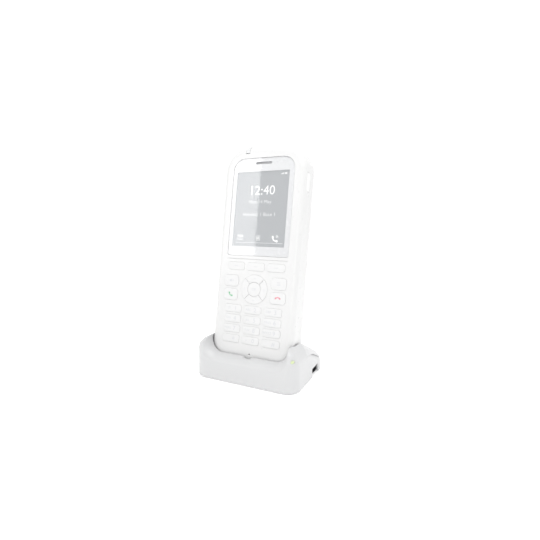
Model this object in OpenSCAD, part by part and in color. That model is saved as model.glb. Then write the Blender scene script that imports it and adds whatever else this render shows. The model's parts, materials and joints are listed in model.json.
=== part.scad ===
// Cordless handset standing in its desk charger.
// Millimetres, X to the right, Y to the back, Z up. The origin is the middle of the
// charger's footprint, at the level of the desk.
//
// The handset is drawn in its own frame and then leant back into the charger: X across,
// Y along the handset from its foot, Z out of its face, with the face at Z = 0.

/* [Handset] */
// Width of the handset
handset_w = 57.6; // [57:0.2:58.4]
// Length of the handset
handset_l = 142.6; // [142:0.2:143]
// Depth of the handset from face to back
handset_d = 23; // [22.6:0.1:23.2]
// Thickness of the handset's casings
casing_wall = 1.8; // [1.7:0.05:1.8]
// Radius of the two upper corners of the handset's outline
top_corner_r = 16; // [14:0.5:18]
// Radius of the two lower corners of the handset's outline
foot_corner_r = 13; // [12.5:0.5:14]

/* [Display and keys] */
// Width of the lens over the display
lens_w = 43.8; // [43:0.1:44.4]
// Visible width of the display
screen_w = 36.7; // [35:0.1:37.4]
// Visible height of the display
screen_h = 49; // [47:0.5:49.5]
// How far each key stands out of the face
key_proud = 0.35; // [0.2:0.05:0.5]
// How far each key can be pressed
key_travel = 0.4; // [0.3:0.05:0.4]
// Distance between the columns of number keys
key_pitch_x = 14.3; // [14.1:0.1:14.5]
// Distance between the rows of number keys
key_pitch_y = 6.55; // [6.5:0.05:6.6]

/* [Charger] */
// Width of the charger
cradle_w = 71.6; // [71:0.2:72]
// Depth of the charger from front to back
cradle_d = 54; // [54:0.2:55]
// Height of the charger's shoulders
cradle_h = 27.2; // [27:0.1:28]
// Height of the front lip under the handset's chin
lip_h = 16.1; // [16:0.1:16.4]
// Thickness of the charger's shell
shell_wall = 2; // [1.8:0.1:2]
// How far the handset leans back, in degrees
lean = 8.7; // [8.5:0.1:9]
// Gap between the handset and the walls of its pocket
pocket_gap = 0.8; // [0.6:0.05:0.9]

/* [Hidden] */
$fn = 48;

// How far joined shapes run into each other, and how far a cutter runs past the face it cuts
eps = 0.01;
past = 1;

// --- Handset: rounding of the body, as ellipses seen from the side ---
face_round_z = 4;
face_round_side = 3;
face_round_foot = 6;
face_round_top = 5;
back_round_z = 8;
back_round_side = 8;
back_round_foot = 5;
back_round_top = 8;
// Depth of the joint line between the front and rear casings
parting_z = -12;

// --- Handset: places on its face ---
lens_y = [70.3, 134.2];
seam_y = 68.1;
seam_size = [0.3, 0.3];
lens_t = 1.2;
lens_gap = 0.1;
lens_top_r = 8;
lens_foot_r = 1.5;
screen_y = 101;
display_size = [screen_w + 2.5, screen_h + 4.2];
earpiece_y = 130.8;
earpiece_slot = [11.5, 1.6];
mic_y = 7.2;
mic_hole_r = 0.6;
hole_gap = 0.25;
flange_lip = 0.5;
flange_t = 0.65;
flange_gap = 0.05;
plunger_r = 1.5;
plunger_z = -3.1;
key_r = 1.6;
key_bevel = 0.3;
key_size = [12.4, 5];
number_row_y = 35.6;
function_key_size = [10.5, 7.4];
function_key_x = 17;
function_key_r = 2.2;
upper_row_y = 53.6;
lower_row_y = 44.6;
soft_key_size = [12.4, 5.2];
soft_key_y = 63.4;
nav_y = 48.9;
nav_outer_r = 9.4;
nav_inner_r = 4.8;
nav_ok_r = 4.3;
nav_gap = 0.7;

// --- Handset: places on its sides ---
side_z = -7.6;
side_gap = 0.25;
rocker_size = [3, 25, 5];
rocker_y = 77;
rocker_proud = 0.5;
jack_y = 118.5;
jack_cover_size = [0.9, 12.8, 5.4];
jack_r = 1.78;
jack_body_r = 2.6;
jack_body_l = 13;
alarm_x = -12.2;
alarm_size = [2.6, 4.8, 6];
alarm_gap = 0.2;
alarm_proud = 0.35;

// --- Handset: inside ---
board_z = -4.05;
board_t = 1;
board_w = 47;
boss_r = 2.2;
boss_points = [[-24, 21], [24, 21], [-21.8, 130.2], [21.8, 130.2]];
bay_x = 20.2;
bay_y = [31, 95];
bay_floor_z = -13.2;
tray_wall = 1.2;
tray_floor = 0.8;
rim_w = 1.4;
contact_slot = [10.2, 4];
contact_pitch = 3.6;
cover_x = 22;
cover_y = [27, 99];
cover_t = 1.6;
cover_gap = 0.15;
cover_r = 3;
speaker_y = 115;
speaker_r = 9.5;
grille_slot = [12, 1.2];
grille_pitch = 2.6;
charge_x = 7.5;
charge_z = -9.5;
charge_pad = [5, 1, 3];
charge_seat_gap = 0.05;

// --- Charger ---
front_corner_r = 8;
back_corner_r = 8;
desk_gap = 0.8;
edge_r = 11;
face_y = 7.3;
seat_s = 10;
floor_gap = 0.3;
pocket_wall = 1.6;
// Front wall's rounding into the crest, as a quarter of an ellipse, and where the crest ends
brow = [8.4, 18.4];
brow_rx = 8;
crest_end = 19;
tail_r = 12;
tail_slope = 25;
tail_round = 4;
// Rounding of the crest's and the front's side edges, as [slope of the profile, radius]
brow_edges = [[20, 9.8], [45, 8], [70, 7.8]];
// Spread of the window's rounded rim at the front wall
rim_spread = 5;
window_r = 9.5;
window_x = 28.4;
window_reach = 14;
notch_r = 4;
notch_depth = 1.6;
// Socket's opening in the right side, which reaches down to the shell's lower edge
port_y = [31, 43];
port_top = 6.2;
socket_z = 3.5;
socket_size = [7.6, 2.6];
socket_x = [24.2, 31.6];
port_depth = 1.4;
// Fine line that falls to the back along each side, as an arc about a point [y, z], whose
// cutter turns in with the side by "line_toe"
line_centre = [9, -73.6];
line_r = 92.3;
line_angles = [60, 86];
line_w = 0.5;
line_depth = 0.6;
line_toe = 2.2;
led = [32.9, 20];
led_r = 0.8;
pin_r = 1;
pin_hole_gap = 0.06;
pin_travel = 0.8;
pin_flange = [2.1, 2.7];
closed_spring_h = 1.1;
holder_depth = pin_flange[1] + pin_travel + closed_spring_h;
base_t = 1;
foot_points = [[-25, 12], [25, 12], [-25, 36], [25, 36]];
foot_r = 4;
screw_points = [[-26, 47.5], [26, 47.5]];
screw_head_r = 2;
screw_post_r = 2.6;
ballast_size = [34, 11];
ballast_z = [2.1, 4.6];
ballast_place = [-12, 37.6];

KEY_NAMES = ["key_1", "key_2", "key_3", "key_4", "key_5", "key_6",
             "key_7", "key_8", "key_9", "key_star", "key_0", "key_hash"];
NAV_NAMES = ["nav_right", "nav_up", "nav_left", "nav_down"];
SOFT_NAMES = ["soft_key_left", "soft_key_middle", "soft_key_right"];

WHITE = [0.95, 0.95, 0.94];
KEY_WHITE = [0.93, 0.93, 0.92];
SHELL_WHITE = [0.88, 0.89, 0.89];
GREY = [0.35, 0.36, 0.38];
DARK = [0.1, 0.1, 0.11];
STEEL = [0.7, 0.7, 0.72];
GOLD = [0.85, 0.7, 0.35];
BOARD_GREEN = [0.1, 0.35, 0.2];

// ------------------------------------------------------------------ outlines

// Points along an arc about (cx, cy)
function arc(cx, cy, r, from, to, n = 8) =
    [for (i = [0:n]) [cx + r * cos(from + (to - from) * i / n), cy + r * sin(from + (to - from) * i / n)]];

// Rectangle between two corners with one radius for its low corners and one for its high ones
function round_rect(low, high, r_low, r_high, n = 8) = concat(
    arc(high.x - r_high, high.y - r_high, r_high, 0, 90, n),
    arc(low.x + r_high, high.y - r_high, r_high, 90, 180, n),
    arc(low.x + r_low, low.y + r_low, r_low, 180, 270, n),
    arc(high.x - r_low, low.y + r_low, r_low, 270, 360, n));

// Flat pad with rounded corners, centred on (x, y), between two heights
module pad(size, z, r, x = 0, y = 0)
    translate([x, y, z[0]])
        linear_extrude(z[1] - z[0])
            polygon(round_rect(-size / 2, size / 2, r, r, 5));

// Block between two corners
module block(low, high)
    translate(low)
        cube(high - low);

// ------------------------------------------------------------- handset body

// Stands the handset in the charger
module on_handset()
    translate([0, face_y - cradle_d / 2, 0])
        rotate([90 - lean, 0, 0])
            translate([0, seat_s, 0])
                children();

// Ring of points round the body at height z, drawn in from its widest outline
function body_ring(z, side, foot, top, length) = [
    for (p = round_rect([-handset_w / 2 + side, foot], [handset_w / 2 - side, length - top],
                        foot_corner_r - side, top_corner_r - side)) [p.x, p.y, z]];

// Rings where the edge of the face (or of the back) has curved in by t degrees
function face_ring(t, grow, length) =
    body_ring(-face_round_z + (face_round_z + grow) * sin(t),
              -grow + (face_round_side + grow) * (1 - cos(t)),
              -grow + (face_round_foot + grow) * (1 - cos(t)),
              -grow + (face_round_top + grow) * (1 - cos(t)), length);
function back_ring(t, grow, length) =
    body_ring(-handset_d + back_round_z - (back_round_z + grow) * sin(t),
              -grow + (back_round_side + grow) * (1 - cos(t)),
              -grow + (back_round_foot + grow) * (1 - cos(t)),
              -grow + (back_round_top + grow) * (1 - cos(t)), length);

// Skin of triangles between rings of n points, closed by a flat cap at each end
module ring_solid(rings) {
    n = len(rings[0]);
    last = len(rings) - 1;
    skin = [for (i = [0:last - 1], k = [0:n - 1])
        let (next = (k + 1) % n, low = n * i, high = n * (i + 1))
        each [[low + k, high + k, high + next], [low + k, high + next, low + next]]];
    caps = [[for (k = [0:n - 1]) k], [for (k = [n - 1:-1:0]) n * last + k]];
    polyhedron([for (r = rings) each r], concat(skin, caps));
}

// The whole body grown by "grow", with rounded face and back edges
module body_solid(grow = 0, length = handset_l)
    ring_solid(concat([for (t = [90:-18:0]) back_ring(t, grow, length)],
                      [for (t = [0:22.5:90]) face_ring(t, grow, length)]));

module casing_shell()
    difference() {
        body_solid();
        body_solid(-casing_wall);
    }

// Outline of the lens, grown by "grow"
module lens_outline(grow = 0)
    polygon(round_rect([-lens_w / 2 - grow, lens_y[0] - grow], [lens_w / 2 + grow, lens_y[1] + grow],
                       lens_foot_r, lens_top_r));

// A row of stubs of one radius through a list of points
module posts(points, z, r)
    for (p = points)
        translate([p.x, p.y, z[0]])
            cylinder(h = z[1] - z[0], r = r);

// ---------------------------------------------------------------- key shapes

function number_key_place(i) = [(i % 3 - 1) * key_pitch_x, number_row_y - floor(i / 3) * key_pitch_y];
function soft_key_place(i) = [(i - 1) * key_pitch_x, soft_key_y];

FUNCTION_PLACES = [[-function_key_x, upper_row_y], [function_key_x, upper_row_y],
                   [-function_key_x, lower_row_y], [function_key_x, lower_row_y]];

// A pressable cap with a retaining flange under the casing and a plunger over its dome
module key_cap(place, size, r) {
    flange = [size.x + 2 * flange_lip, size.y + 2 * flange_lip];
    pad(size - 2 * [key_bevel, key_bevel], [key_proud / 2 - eps, key_proud], r - key_bevel,
        place.x, place.y);
    pad(size, [-casing_wall - flange_gap, key_proud / 2], r, place.x, place.y);
    pad(flange, [-casing_wall - flange_gap - flange_t, -casing_wall - flange_gap], r, place.x, place.y);
    translate([place.x, place.y, plunger_z])
        cylinder(h = -plunger_z - casing_wall - flange_gap - flange_t + eps, r = plunger_r);
}

module key_hole(place, size, r)
    pad(size + [2 * hole_gap, 2 * hole_gap], [-casing_wall - past, past], r + hole_gap, place.x, place.y);

// Quarter of a ring, facing the angle a, with parallel gaps to its neighbours
module ring_quarter(a, r_in, r_out)
    intersection() {
        difference() {
            circle(r_out);
            circle(r_in);
        }
        rotate(a)
            translate([nav_gap / sqrt(2), 0])
                polygon([[0, 0], [20, 20], [20, -20]]);
    }

module nav_key(i)
    translate([0, nav_y, 0]) {
        translate([0, 0, -casing_wall - flange_gap])
            linear_extrude(casing_wall + flange_gap + key_proud)
                ring_quarter(90 * i, nav_inner_r, nav_outer_r);
        translate([0, 0, -casing_wall - flange_gap - flange_t])
            linear_extrude(flange_t)
                ring_quarter(90 * i, nav_inner_r, nav_outer_r + hole_gap + 0.2);
        rotate(90 * i)
            translate([(nav_inner_r + nav_outer_r) / 2, 0, plunger_z])
                cylinder(h = -plunger_z - casing_wall - flange_gap - flange_t + eps, r = plunger_r);
    }

// ------------------------------------------------------------ handset casings

module front_casing()
    color(WHITE) on_handset()
        difference() {
            union() {
                intersection() {
                    casing_shell();
                    block([-handset_w, -past, parting_z], [handset_w, handset_l + past, past]);
                }
                posts(boss_points, [parting_z, -casing_wall + 0.2], boss_r);
            }
            // seat of the lens, the display's window and the earpiece's opening behind it
            translate([0, 0, -lens_t - 0.05])
                linear_extrude(past + lens_t)
                    lens_outline(lens_gap);
            pad(display_size + [0.8, 0.8], [-casing_wall - past, 0], 1, 0, screen_y);
            pad([14, 4], [-casing_wall - past, 0], 1.5, 0, earpiece_y);
            for (i = [0:11])
                key_hole(number_key_place(i), key_size, key_r);
            for (i = [0:2])
                key_hole(soft_key_place(i), soft_key_size, key_r);
            for (p = FUNCTION_PLACES)
                key_hole(p, function_key_size, function_key_r);
            translate([0, nav_y, -casing_wall - past])
                cylinder(h = casing_wall + 2 * past, r = nav_outer_r + hole_gap);
            translate([0, mic_y, -casing_wall - past])
                cylinder(h = casing_wall + 2 * past, r = mic_hole_r);
            // volume rocker's slot on the left
            block([-handset_w / 2 - past, rocker_y - rocker_size.y / 2 - side_gap,
                   side_z - rocker_size.z / 2 - side_gap],
                  [-handset_w / 2 + rocker_size.x, rocker_y + rocker_size.y / 2 + side_gap,
                   side_z + rocker_size.z / 2 + side_gap]);
            // jack cover's seat and the jack's hole on the right
            block([handset_w / 2 - jack_cover_size.x - 0.1, jack_y - jack_cover_size.y / 2 - side_gap,
                   side_z - jack_cover_size.z / 2 - side_gap],
                  [handset_w / 2 + past, jack_y + jack_cover_size.y / 2 + side_gap,
                   side_z + jack_cover_size.z / 2 + side_gap]);
            translate([handset_w / 2 - 6, jack_y, side_z])
                rotate([0, 90, 0])
                    cylinder(h = 8, r = 2.3);
            // alarm key's notch in the upper edge and the seam above the keys
            block([alarm_x - alarm_size.x / 2 - alarm_gap,
                   handset_l - alarm_size.y - key_travel - 0.3, -alarm_size.z - alarm_gap],
                  [alarm_x + alarm_size.x / 2 + alarm_gap, handset_l + past, past]);
            block([-lens_w / 2, seam_y - seam_size.x / 2, -seam_size.y],
                  [lens_w / 2, seam_y + seam_size.x / 2, past]);
            // seats of the charging pads in the foot
            for (side = [-1, 1])
                block([side * charge_x - charge_pad.x / 2 - charge_seat_gap, -past,
                       charge_z - charge_pad.z / 2 - charge_seat_gap],
                      [side * charge_x + charge_pad.x / 2 + charge_seat_gap, charge_pad.y + charge_seat_gap,
                       charge_z + charge_pad.z / 2 + charge_seat_gap]);
            posts(boss_points, [parting_z - past, -casing_wall - 1], 0.75);
        }

module rear_casing()
    color(WHITE) on_handset()
        difference() {
            union() {
                intersection() {
                    casing_shell();
                    block([-handset_w, -past, -handset_d - past], [handset_w, handset_l + past, parting_z]);
                }
                // tray that holds the battery, with a rim that the cover sits on
                block([-bay_x - tray_wall, bay_y[0] - tray_wall, -handset_d + cover_t],
                      [bay_x + tray_wall, bay_y[1] + tray_wall, bay_floor_z + tray_floor]);
                block([-cover_x - rim_w, cover_y[0] - rim_w, -handset_d + cover_t + 0.1],
                      [cover_x + rim_w, cover_y[1] + rim_w, -handset_d + cover_t + 1.2]);
                posts(boss_points, [-handset_d + 2, parting_z], boss_r);
            }
            block([-bay_x, bay_y[0], -handset_d - past], [bay_x, bay_y[1], bay_floor_z]);
            pad([2 * (cover_x + cover_gap), cover_y[1] - cover_y[0] + 2 * cover_gap],
                [-handset_d - past, -handset_d + cover_t + 0.1], cover_r + cover_gap,
                0, (cover_y[0] + cover_y[1]) / 2);
            // slot for the battery's contacts
            block([-contact_slot.x / 2, bay_y[0] + 1.4, bay_floor_z - past],
                  [contact_slot.x / 2, bay_y[0] + 1.4 + contact_slot.y, bay_floor_z + 2]);
            // loudspeaker's grille
            for (i = [-2:2])
                pad(grille_slot - [2 * abs(i), 0], [-handset_d - past, -handset_d + casing_wall + past],
                    0.55, 0, speaker_y + grille_pitch * i);
            posts(boss_points, [-handset_d - past, -handset_d + 3.2], 1.6);
            posts(boss_points, [-handset_d, parting_z + past], 0.95);
        }

module battery_cover()
    color(WHITE) on_handset() {
        intersection() {
            body_solid();
            pad([2 * cover_x, cover_y[1] - cover_y[0]], [-handset_d - past, -handset_d + cover_t], cover_r,
                0, (cover_y[0] + cover_y[1]) / 2);
        }
        for (side = [-1, 1])
            block([side * 12 - 2, bay_y[0] + 0.15, -handset_d + cover_t - eps],
                  [side * 12 + 2, bay_y[0] + 0.85, -handset_d + cover_t + 1.4]);
    }

// ------------------------------------------------------------- handset pieces

module display_lens()
    color(DARK, 0.6) on_handset()
        difference() {
            translate([0, 0, -lens_t])
                linear_extrude(lens_t)
                    lens_outline();
            pad(earpiece_slot, [-lens_t - past, past], 0.75, 0, earpiece_y);
        }

module display_module()
    color(DARK) on_handset()
        pad(display_size, [board_z + 0.1, -lens_t - 0.1], 0.6, 0, screen_y);

module earpiece_mesh()
    color(GREY) on_handset()
        pad([13.2, 3.2], [-lens_t - 0.4, -lens_t - 0.1], 1.4, 0, earpiece_y);

module earpiece_receiver()
    color(STEEL) on_handset()
        pad([13, 6], [-3.9, -casing_wall - 0.1], 1.5, 0, earpiece_y);

module number_key(i)
    color(KEY_WHITE) on_handset()
        key_cap(number_key_place(i), key_size, key_r);

module soft_key(i)
    color(KEY_WHITE) on_handset()
        key_cap(soft_key_place(i), soft_key_size, key_r);

module function_key(i)
    color(KEY_WHITE) on_handset()
        key_cap(FUNCTION_PLACES[i], function_key_size, function_key_r);

module nav_segment(i)
    color(KEY_WHITE) on_handset()
        nav_key(i);

module nav_ok()
    color(KEY_WHITE) on_handset()
        translate([0, nav_y, 0]) {
            translate([0, 0, -casing_wall])
                cylinder(h = casing_wall + key_proud, r = nav_ok_r);
            translate([0, 0, plunger_z])
                cylinder(h = -plunger_z - casing_wall + eps, r = plunger_r);
        }

module key_dome_sheet()
    color(GREY) on_handset()
        difference() {
            pad([45, 57.4], [board_z + 0.1, -3.55], 2, 0, 40.6);
            posts(boss_points, [board_z, -3], boss_r + 0.3);
        }

module main_board()
    color(BOARD_GREEN) on_handset()
        difference() {
            translate([0, 0, board_z - board_t])
                linear_extrude(board_t)
                    polygon(round_rect([-board_w / 2, 5], [board_w / 2, 136.5], 11, 12));
            posts(boss_points, [board_z - board_t - past, board_z + past], boss_r + 0.3);
        }

module microphone()
    color(STEEL) on_handset()
        pad([3.6, 2.8], [board_z + 0.02, -2.4], 0.3, 0, mic_y + 0.6);

module loudspeaker()
    color(GREY) on_handset()
        translate([0, speaker_y, -handset_d + casing_wall + 0.1]) {
            cylinder(h = 3.4, r = speaker_r);
            translate([0, 0, 3.4 - eps])
                cylinder(h = 1.4, r = 6);
        }

module vibration_motor()
    color(STEEL) on_handset()
        translate([-19, 108, -7.4])
            rotate([-90, 0, 0]) {
                cylinder(h = 9, r = 2.2);
                translate([0, 0, 9.4])
                    difference() {
                        cylinder(h = 2.4, r = 2.2);
                        block([-3, 0.3, -past], [3, 3, 4]);
                    }
                cylinder(h = 10, r = 0.5);
            }

module antenna_strip()
    color(GOLD) on_handset()
        pad([26, 3], [-14.5, -14], 0.6, 0, 134);

// Rocks about its middle, through the left wall
module volume_rocker()
    color(GREY) on_handset()
        translate([-handset_w / 2 - rocker_proud, rocker_y, side_z]) {
            rotate([0, 90, 0])
                linear_extrude(casing_wall + rocker_proud)
                    polygon(round_rect([-rocker_size.z / 2, -rocker_size.y / 2],
                                       [rocker_size.z / 2, rocker_size.y / 2], 2, 2, 5));
            translate([casing_wall + rocker_proud - eps, 0, -rocker_size.z / 2])
                cylinder(h = rocker_size.z, r = 1);
        }

// Short key in the upper edge, cut to the casing's rounding and standing a little proud of its top
module alarm_key()
    color(GREY) on_handset()
        intersection() {
            translate([0, alarm_proud, 0])
                body_solid();
            block([alarm_x - alarm_size.x / 2, handset_l - alarm_size.y, -alarm_size.z],
                  [alarm_x + alarm_size.x / 2, handset_l + past, past]);
        }

module headset_jack()
    color(DARK) on_handset()
        translate([handset_w / 2 - casing_wall - 0.2 - jack_body_l, jack_y, side_z - 0.6])
            rotate([0, 90, 0])
                difference() {
                    cylinder(h = jack_body_l, r = jack_body_r);
                    translate([0, 0, 1])
                        cylinder(h = jack_body_l, r = jack_r);
                }

// Rubber flap with a short plug, hinged at its upper end
module jack_cover()
    color(GREY) on_handset()
        translate([handset_w / 2 - jack_cover_size.x, jack_y, side_z]) {
            rotate([0, 90, 0])
                linear_extrude(jack_cover_size.x)
                    polygon(round_rect([-jack_cover_size.z / 2, -jack_cover_size.y / 2],
                                       [jack_cover_size.z / 2, jack_cover_size.y / 2], 2.4, 1, 6));
            translate([-1, 0, 0])
                rotate([0, 90, 0])
                    cylinder(h = 1 + eps, r = 1.4);
        }

module battery_pack()
    color(DARK) on_handset()
        block([-19, 32.1, -handset_d + cover_t + 0.5], [19, 94.4, bay_floor_z - 0.3]);

module battery_contacts()
    color(GOLD) on_handset()
        for (x = [-contact_pitch, 0, contact_pitch])
            block([x - 1.1, bay_y[0] + 1.6, bay_floor_z - 0.2],
                  [x + 1.1, bay_y[0] + 1.2 + contact_slot.y, board_z - board_t - 0.05]);

module charge_pads()
    color(GOLD) on_handset()
        for (side = [-1, 1])
            block([side * charge_x - charge_pad.x / 2, 0, charge_z - charge_pad.z / 2],
                  [side * charge_x + charge_pad.x / 2, charge_pad.y, charge_z + charge_pad.z / 2]);

module handset_screws()
    color(STEEL) on_handset() {
        posts(boss_points, [-handset_d + 1.6, -handset_d + 3.1], 1.5);
        posts(boss_points, [-handset_d + 3, -4], 0.7);
    }

// -------------------------------------------------------------- charger shape

// Where the charger's top starts to slope down to the back
tail_start = [crest_end + tail_r * sin(tail_slope), cradle_h - tail_r * (1 - cos(tail_slope))];

// Height of the centre of the back edge's rounding, which touches the slope and the back wall
function tail_centre_z(y) =
    tail_start.y - (tail_round + (y - tail_start.x) * sin(tail_slope)) / cos(tail_slope);

// Outline of the charger seen from its right, as [y, z]: wall, crest, slope and back wall
function side_profile(inset, floor_z) = concat(
    [[inset, floor_z]],
    [for (t = [180:-10:90])
        [brow.x + (brow_rx - inset) * cos(t), brow.y + (cradle_h - brow.y - inset) * sin(t)]],
    arc(crest_end, cradle_h - tail_r, tail_r - inset, 90, 90 - tail_slope, 4),
    arc(cradle_d - tail_round, tail_centre_z(cradle_d - tail_round), tail_round - inset,
        90 - tail_slope, 0, 6),
    [[cradle_d - inset, floor_z]]);

// Prism along Y with rounded upper edges, whose top passes through (y, z) at a slope
module edge_rounder(y, z, slope, r, inset)
    translate([0, y, z])
        rotate([slope, 0, 0])
            translate([0, 120, 0])
                rotate([90, 0, 0])
                    linear_extrude(240)
                        polygon(round_rect([-cradle_w / 2 + inset, -120], [cradle_w / 2 - inset, -inset],
                                           1, r - inset, 6));

// The same prism laid where the front's rounding climbs at "slope" degrees
module brow_rounder(slope, r, inset) {
    t = atan((cradle_h - brow.y) / (brow_rx * tan(slope)));
    edge_rounder(brow.x - brow_rx * cos(t), brow.y + (cradle_h - brow.y) * sin(t), slope, r, inset);
}

// Everything under all of the front's edge rounders
module rounded_brow(inset)
    intersection_for (edge = brow_edges)
        brow_rounder(edge[0], edge[1], inset);

// The charger's block with its walls drawn in by "inset"
module cradle_block(inset = 0, floor_z = desk_gap)
    intersection() {
        translate([0, 0, floor_z])
            linear_extrude(cradle_h)
                polygon(round_rect([-cradle_w / 2 + inset, inset], [cradle_w / 2 - inset, cradle_d - inset],
                                   front_corner_r - inset, back_corner_r - inset));
        translate([-cradle_w, 0, 0])
            rotate([90, 0, 90])
                linear_extrude(2 * cradle_w)
                    polygon(side_profile(inset, floor_z));
        edge_rounder(tail_start.x, tail_start.y, -tail_slope, edge_r, inset);
        edge_rounder(crest_end, cradle_h, 0, edge_r, inset);
        rounded_brow(inset);
    }

// Outline of the window over the chin at depth v, spread by its rounded rim
function window_ring(v, spread) = [
    for (p = concat(arc(window_x - window_r, lip_h + window_r, window_r + spread, 270, 350),
                    [[window_x + spread + 3, 2 * cradle_h], [-window_x - spread - 3, 2 * cradle_h]],
                    arc(-window_x + window_r, lip_h + window_r, window_r + spread, 190, 270)))
        [p.x, p.y, v]];

// Opening over the front lip that shows the handset's chin, whose rim rolls out to the front wall
module chin_window(grow = 0)
    rotate([90, 0, 0])
        ring_solid(concat(
            [window_ring(-face_y - window_reach, grow)],
            [for (t = [0:15:90])
                window_ring((face_y - grow) * sin(t) - face_y, rim_spread - (rim_spread - grow) * cos(t))],
            [window_ring(past, rim_spread)]));

// Cutter for the fine line along a side
module side_line()
    rotate([90, 0, 90])
        translate([0, 0, -line_depth])
            linear_extrude(2 * line_depth)
                polygon(concat(
                    arc(line_centre.x, line_centre.y, line_r, line_angles[0], line_angles[1]),
                    arc(line_centre.x, line_centre.y, line_r - line_w, line_angles[1], line_angles[0])));

// Puts children in the charger's own frame: Y from its front, Z from the desk
module on_cradle()
    translate([0, -cradle_d / 2, 0])
        children();

// Handset's space in the charger, as deep as the handset stands and open at the top
module pocket(grow)
    on_handset()
        translate([0, pocket_gap - floor_gap, 0])
            body_solid(grow, handset_l + 40);

// Places children on each charging contact, Z pointing down the pin
module on_contact(side)
    on_handset()
        translate([side * charge_x, 0, charge_z])
            rotate([90, 0, 0])
                children();

module cradle_shell()
    color(SHELL_WHITE)
        difference() {
            union() {
                difference() {
                    on_cradle()
                        difference() {
                            cradle_block();
                            difference() {
                                cradle_block(shell_wall, -5);
                                chin_window(shell_wall);
                            }
                        }
                    pocket(pocket_gap);
                }
                // walls of the pocket inside the shell
                intersection() {
                    on_cradle()
                        cradle_block(shell_wall / 2, desk_gap);
                    difference() {
                        pocket(pocket_gap + pocket_wall);
                        pocket(pocket_gap);
                    }
                }
                on_cradle()
                    intersection() {
                        posts(screw_points, [3.3, cradle_h], screw_post_r);
                        cradle_block(shell_wall / 2);
                    }
            }
            on_cradle() {
                chin_window();
                // thumb notch in front of the microphone
                translate([0, face_y + 5, lip_h + notch_r - notch_depth])
                    rotate([90, 0, 0])
                        cylinder(h = 6.5, r = notch_r);
                for (side = [-1, 1])
                    translate([side * cradle_w / 2, 0, 0])
                        rotate([0, 0, side * line_toe])
                            side_line();
                block([24, port_y[0], 0], [cradle_w, port_y[1], port_top]);
                translate([led.x, 0, led.y])
                    rotate([-90, 0, 0])
                        cylinder(h = 12, r = led_r + 0.05);
                posts(screw_points, [2, 12], 0.9);
            }
            for (side = [-1, 1])
                on_contact(side)
                    translate([0, 0, -1])
                        cylinder(h = 5, r = pin_r + pin_hole_gap);
        }

module cradle_base()
    color(SHELL_WHITE) on_cradle()
        difference() {
            union() {
                translate([0, 0, desk_gap])
                    linear_extrude(base_t)
                        polygon(round_rect([-cradle_w / 2 + shell_wall + 0.2, shell_wall + 0.2],
                                           [cradle_w / 2 - shell_wall - 0.2, cradle_d - shell_wall - 0.2],
                                           front_corner_r - shell_wall, back_corner_r - shell_wall));
                posts(screw_points, [desk_gap, 3.2], screw_post_r + 0.8);
                // upstands that hook behind the shell's front wall
                for (side = [-1, 1])
                    block([side * 15 - 3, shell_wall + 0.4, desk_gap], [side * 15 + 3, shell_wall + 1.4, 6]);
            }
            posts(foot_points, [0, desk_gap + 0.4], foot_r + 0.1);
            posts(screw_points, [0, desk_gap + 1.4], screw_head_r + 0.1);
            posts(screw_points, [0, 5], 1.1);
        }

module rubber_feet()
    color(GREY) on_cradle()
        posts(foot_points, [0, desk_gap + 0.4], foot_r);

module cradle_screws()
    color(STEEL) on_cradle() {
        posts(screw_points, [desk_gap + 0.2, desk_gap + 1.4], screw_head_r);
        posts(screw_points, [desk_gap + 1.3, 11], 0.85);
    }

// --------------------------------------------------------- charger's contacts

module contact_pin(side)
    color(GOLD)
        on_contact(side) {
            translate([0, 0, 0.1])
                cylinder(h = pin_flange[0] - 0.1 + eps, r = pin_r);
            translate([0, 0, pin_flange[0]])
                cylinder(h = pin_flange[1] - pin_flange[0], r = 1.7);
            translate([0, 0, pin_flange[1] - eps])
                cylinder(h = 1.8, r = 0.5);
        }

spring_turns = 3;
spring_steps = 12;
spring_wire_r = 0.15;
spring_r = 1.1;
spring_z = [pin_flange[1] + spring_wire_r, holder_depth - spring_wire_r - 0.05];

// Ring of six points round the wire where it has turned by a degrees
function wire_ring(a) = [for (k = [0:5])
    let (reach = spring_r + spring_wire_r * cos(60 * k),
         rise = spring_z[0] + (spring_z[1] - spring_z[0]) * a / (360 * spring_turns))
    [reach * cos(a), reach * sin(a), rise + spring_wire_r * sin(60 * k)]];

module contact_spring(side)
    color(STEEL)
        on_contact(side) {
            last = spring_turns * spring_steps;
            points = [for (i = [0:last]) each wire_ring(i * 360 / spring_steps)];
            sides = [for (i = [0:last - 1], k = [0:5])
                [6 * i + k, 6 * i + (k + 1) % 6, 6 * (i + 1) + (k + 1) % 6, 6 * (i + 1) + k]];
            polyhedron(points, concat([[5, 4, 3, 2, 1, 0]], sides, [[for (k = [0:5]) 6 * last + k]]));
        }

// Plate under the springs, on two legs that meet the pocket's floor
module contact_holder()
    color(GREY)
        on_handset()
            difference() {
                union() {
                    block([-13, -holder_depth - 1, charge_z - 3.5], [13, -holder_depth, charge_z + 3.5]);
                    for (side = [-1, 1])
                        block([side * 12 - 1, -holder_depth - eps, charge_z - 3],
                              [side * 12 + 1, -floor_gap - pocket_wall - 0.05, charge_z + 3]);
                }
                for (side = [-1, 1])
                    translate([side * charge_x, -7, charge_z])
                        rotate([-90, 0, 0])
                            cylinder(h = 4, r = 0.6);
            }

module cradle_board()
    color(BOARD_GREEN) on_cradle()
        block([7, 31.5, 2.3], [socket_x[0] - 0.1, 43, 3.1]);

// Places children at the back of the socket, Z pointing out through its mouth
module on_socket()
    on_cradle()
        translate([socket_x[0], (port_y[0] + port_y[1]) / 2, socket_z])
            rotate([90, 0, 90])
                children();

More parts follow.
